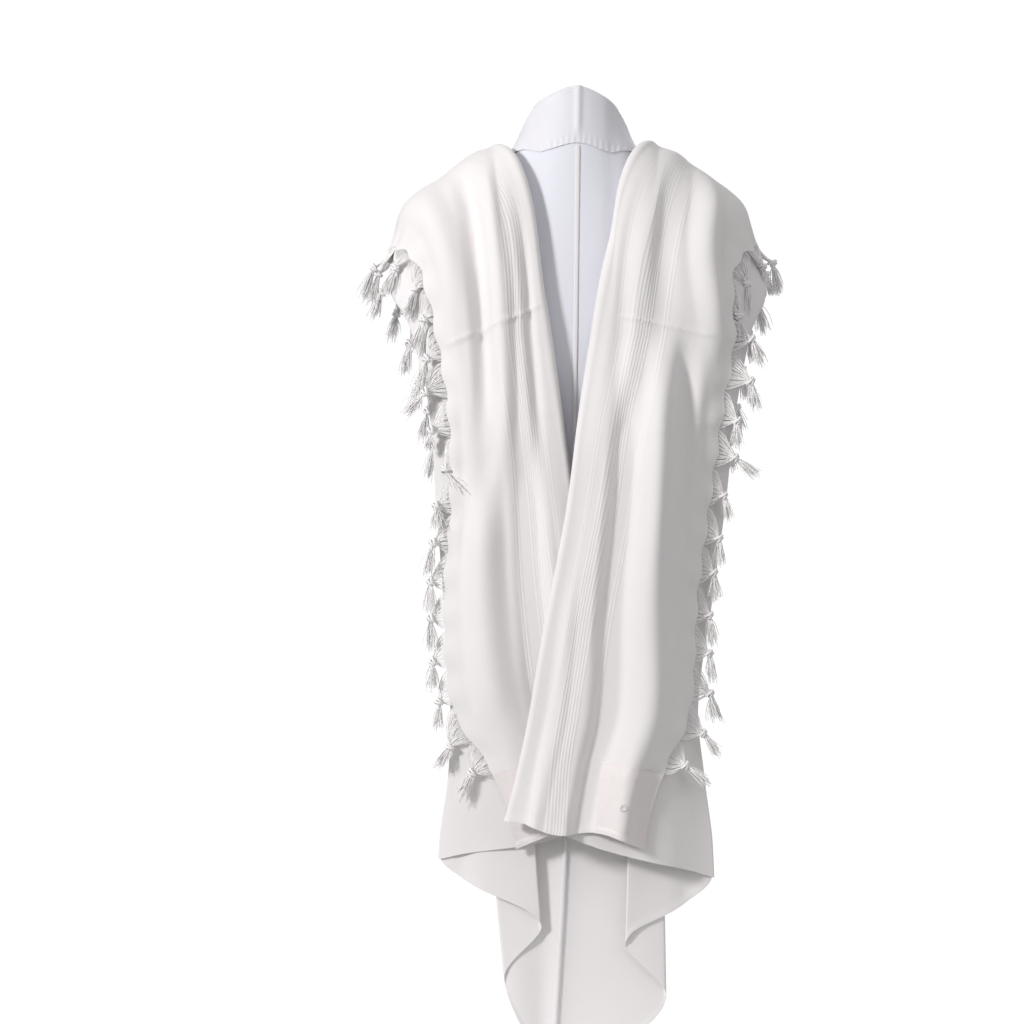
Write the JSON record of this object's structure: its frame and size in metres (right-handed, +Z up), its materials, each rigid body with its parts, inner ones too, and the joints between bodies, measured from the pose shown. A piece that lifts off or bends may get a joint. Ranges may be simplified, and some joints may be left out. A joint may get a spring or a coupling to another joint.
{
  "type": "tallit prayer shawl",
  "caption": "White wool prayer shawl draped over both shoulders, with a satin neckband, ribbed stripes, corner patches and a knotted fringe.",
  "frame": {"origin": "the middle of the shoulders at the nape, where the shawl is held", "axes": "+Z up, +Y the way the wearer faces, +X to the wearer's right; the back of the shawl faces -Y"},
  "size_m": [0.6266, 0.3799, 1.4513],
  "materials": {
    "wool": "matte woven wool with ribbed stripes",
    "band_satin": "soft satin",
    "patch_satin": "soft satin",
    "fringe_thread": "twisted thread"
  },
  "bodies": {
    "root": {"centre_seam": "wool", "fringe_left": "fringe_thread", "fringe_right": "fringe_thread", "half_left_back": "wool", "half_left_wing": "wool", "half_right_back": "wool", "half_right_wing": "wool", "neckband": "band_satin", "patch_left_back": "patch_satin", "patch_left_front": "patch_satin", "patch_right_back": "patch_satin", "patch_right_front": "patch_satin"}
  },
  "joints": []
}
